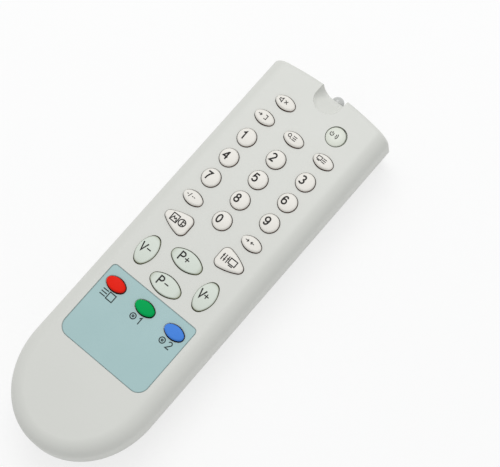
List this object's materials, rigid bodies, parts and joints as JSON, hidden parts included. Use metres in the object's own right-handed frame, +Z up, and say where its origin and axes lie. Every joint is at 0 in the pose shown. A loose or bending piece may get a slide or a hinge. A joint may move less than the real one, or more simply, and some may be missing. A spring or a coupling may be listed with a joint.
{
  "type": "tv remote control",
  "caption": "Handheld TV remote control with a rounded tail, a scooped head round its infrared LED, a rubber keypad and a sliding cover over its AAA cells.",
  "frame": {"origin": "on the surface that the back rests on, under the middle of the length and width", "axes": "+Y towards the head with the LED, +Z up through the keys, +X to the right of the keypad"},
  "size_m": [0.0544, 0.1699, 0.0254],
  "materials": {
    "case_plastic": "satin moulded ABS, light warm grey",
    "key_white": "satin silicone rubber, warm white",
    "key_pale_green": "satin silicone rubber, pale green",
    "key_red": "satin silicone rubber, red",
    "key_green": "satin silicone rubber, green",
    "key_blue": "satin silicone rubber, blue",
    "label_film": "printed polycarbonate film, pale teal",
    "mat_silicone": "plain silicone rubber",
    "board_laminate": "phenolic paper laminate with tracks",
    "led_resin": "clear resin tinted dark",
    "chip_epoxy": "black moulded epoxy",
    "resonator_coating": "dipped blue coating",
    "capacitor_sleeve": "shrunk plastic sleeve",
    "resistor_coating": "tan lacquer",
    "screw_steel": "zinc plated",
    "contact_steel": "nickel plated spring steel",
    "cell_wrap": null
  },
  "bodies": {
    "housing": {"top_case": "case_plastic", "bottom_case": "case_plastic", "label_panel": "label_film", "keypad_mat": "mat_silicone", "circuit_board": "board_laminate", "ir_led": "led_resin", "controller_chip": "chip_epoxy", "resonator": "resonator_coating", "capacitor": "capacitor_sleeve", "transistor": "chip_epoxy", "resistors": "resistor_coating", "board_screws": "screw_steel", "case_screws": "screw_steel", "contact_positive": "contact_steel", "contact_negative": "contact_steel", "contact_bridge": "contact_steel", "cell_left": "cell_wrap", "cell_right": "cell_wrap"},
    "cover": {"battery_cover": "case_plastic"},
    "key_0": {"key_0": "key_white"},
    "key_1": {"key_1": "key_white"},
    "key_2": {"key_2": "key_white"},
    "key_3": {"key_3": "key_white"},
    "key_4": {"key_4": "key_white"},
    "key_5": {"key_5": "key_white"},
    "key_6": {"key_6": "key_white"},
    "key_7": {"key_7": "key_white"},
    "key_8": {"key_8": "key_white"},
    "key_9": {"key_9": "key_white"},
    "key_digits": {"key_digits": "key_white"},
    "key_recall": {"key_recall": "key_white"},
    "key_source": {"key_source": "key_white"},
    "key_search": {"key_search": "key_white"},
    "key_display": {"key_display": "key_white"},
    "key_mute": {"key_mute": "key_white"},
    "key_picture": {"key_picture": "key_white"},
    "key_mode": {"key_mode": "key_white"},
    "key_program_up": {"key_program_up": "key_pale_green"},
    "key_program_down": {"key_program_down": "key_pale_green"},
    "key_volume_down": {"key_volume_down": "key_pale_green"},
    "key_volume_up": {"key_volume_up": "key_pale_green"},
    "key_red": {"key_red": "key_red"},
    "key_green": {"key_green": "key_green"},
    "key_blue": {"key_blue": "key_blue"},
    "key_power": {"key_power": "key_pale_green"}
  },
  "joints": [
    {"name": "cover_slide", "type": "slide", "parent": "housing", "child": "cover", "axis": [0, -1, 0], "range_m": [0, 0.06]},
    {"name": "key_0_press", "type": "slide", "parent": "housing", "child": "key_0", "axis": [0, 0, -1], "range_m": [0, 0.00085], "stiffness_N_per_m": 1500},
    {"name": "key_1_press", "type": "slide", "parent": "housing", "child": "key_1", "axis": [0, 0, -1], "range_m": [0, 0.00085], "stiffness_N_per_m": 1500},
    {"name": "key_2_press", "type": "slide", "parent": "housing", "child": "key_2", "axis": [0, 0, -1], "range_m": [0, 0.00085], "stiffness_N_per_m": 1500},
    {"name": "key_3_press", "type": "slide", "parent": "housing", "child": "key_3", "axis": [0, 0, -1], "range_m": [0, 0.00085], "stiffness_N_per_m": 1500},
    {"name": "key_4_press", "type": "slide", "parent": "housing", "child": "key_4", "axis": [0, 0, -1], "range_m": [0, 0.00085], "stiffness_N_per_m": 1500},
    {"name": "key_5_press", "type": "slide", "parent": "housing", "child": "key_5", "axis": [0, 0, -1], "range_m": [0, 0.00085], "stiffness_N_per_m": 1500},
    {"name": "key_6_press", "type": "slide", "parent": "housing", "child": "key_6", "axis": [0, 0, -1], "range_m": [0, 0.00085], "stiffness_N_per_m": 1500},
    {"name": "key_7_press", "type": "slide", "parent": "housing", "child": "key_7", "axis": [0, 0, -1], "range_m": [0, 0.00085], "stiffness_N_per_m": 1500},
    {"name": "key_8_press", "type": "slide", "parent": "housing", "child": "key_8", "axis": [0, 0, -1], "range_m": [0, 0.00085], "stiffness_N_per_m": 1500},
    {"name": "key_9_press", "type": "slide", "parent": "housing", "child": "key_9", "axis": [0, 0, -1], "range_m": [0, 0.00085], "stiffness_N_per_m": 1500},
    {"name": "key_digits_press", "type": "slide", "parent": "housing", "child": "key_digits", "axis": [0, 0, -1], "range_m": [0, 0.00085], "stiffness_N_per_m": 1500},
    {"name": "key_recall_press", "type": "slide", "parent": "housing", "child": "key_recall", "axis": [0, 0, -1], "range_m": [0, 0.00085], "stiffness_N_per_m": 1500},
    {"name": "key_source_press", "type": "slide", "parent": "housing", "child": "key_source", "axis": [0, 0, -1], "range_m": [0, 0.00085], "stiffness_N_per_m": 1500},
    {"name": "key_search_press", "type": "slide", "parent": "housing", "child": "key_search", "axis": [0, 0, -1], "range_m": [0, 0.00085], "stiffness_N_per_m": 1500},
    {"name": "key_display_press", "type": "slide", "parent": "housing", "child": "key_display", "axis": [0, 0, -1], "range_m": [0, 0.00085], "stiffness_N_per_m": 1500},
    {"name": "key_mute_press", "type": "slide", "parent": "housing", "child": "key_mute", "axis": [0, 0, -1], "range_m": [0, 0.00085], "stiffness_N_per_m": 1500},
    {"name": "key_picture_press", "type": "slide", "parent": "housing", "child": "key_picture", "axis": [0, 0, -1], "range_m": [0, 0.00085], "stiffness_N_per_m": 1500},
    {"name": "key_mode_press", "type": "slide", "parent": "housing", "child": "key_mode", "axis": [0, 0, -1], "range_m": [0, 0.00085], "stiffness_N_per_m": 1500},
    {"name": "key_program_up_press", "type": "slide", "parent": "housing", "child": "key_program_up", "axis": [0, 0, -1], "range_m": [0, 0.00085], "stiffness_N_per_m": 1500},
    {"name": "key_program_down_press", "type": "slide", "parent": "housing", "child": "key_program_down", "axis": [0, 0, -1], "range_m": [0, 0.00085], "stiffness_N_per_m": 1500},
    {"name": "key_volume_down_press", "type": "slide", "parent": "housing", "child": "key_volume_down", "axis": [0, 0, -1], "range_m": [0, 0.00085], "stiffness_N_per_m": 1500},
    {"name": "key_volume_up_press", "type": "slide", "parent": "housing", "child": "key_volume_up", "axis": [0, 0, -1], "range_m": [0, 0.00085], "stiffness_N_per_m": 1500},
    {"name": "key_red_press", "type": "slide", "parent": "housing", "child": "key_red", "axis": [0, 0, -1], "range_m": [0, 0.00085], "stiffness_N_per_m": 1500},
    {"name": "key_green_press", "type": "slide", "parent": "housing", "child": "key_green", "axis": [0, 0, -1], "range_m": [0, 0.00085], "stiffness_N_per_m": 1500},
    {"name": "key_blue_press", "type": "slide", "parent": "housing", "child": "key_blue", "axis": [0, 0, -1], "range_m": [0, 0.00085], "stiffness_N_per_m": 1500},
    {"name": "key_power_press", "type": "slide", "parent": "housing", "child": "key_power", "axis": [0, 0, -1], "range_m": [0, 0.00085], "stiffness_N_per_m": 1500}
  ]
}
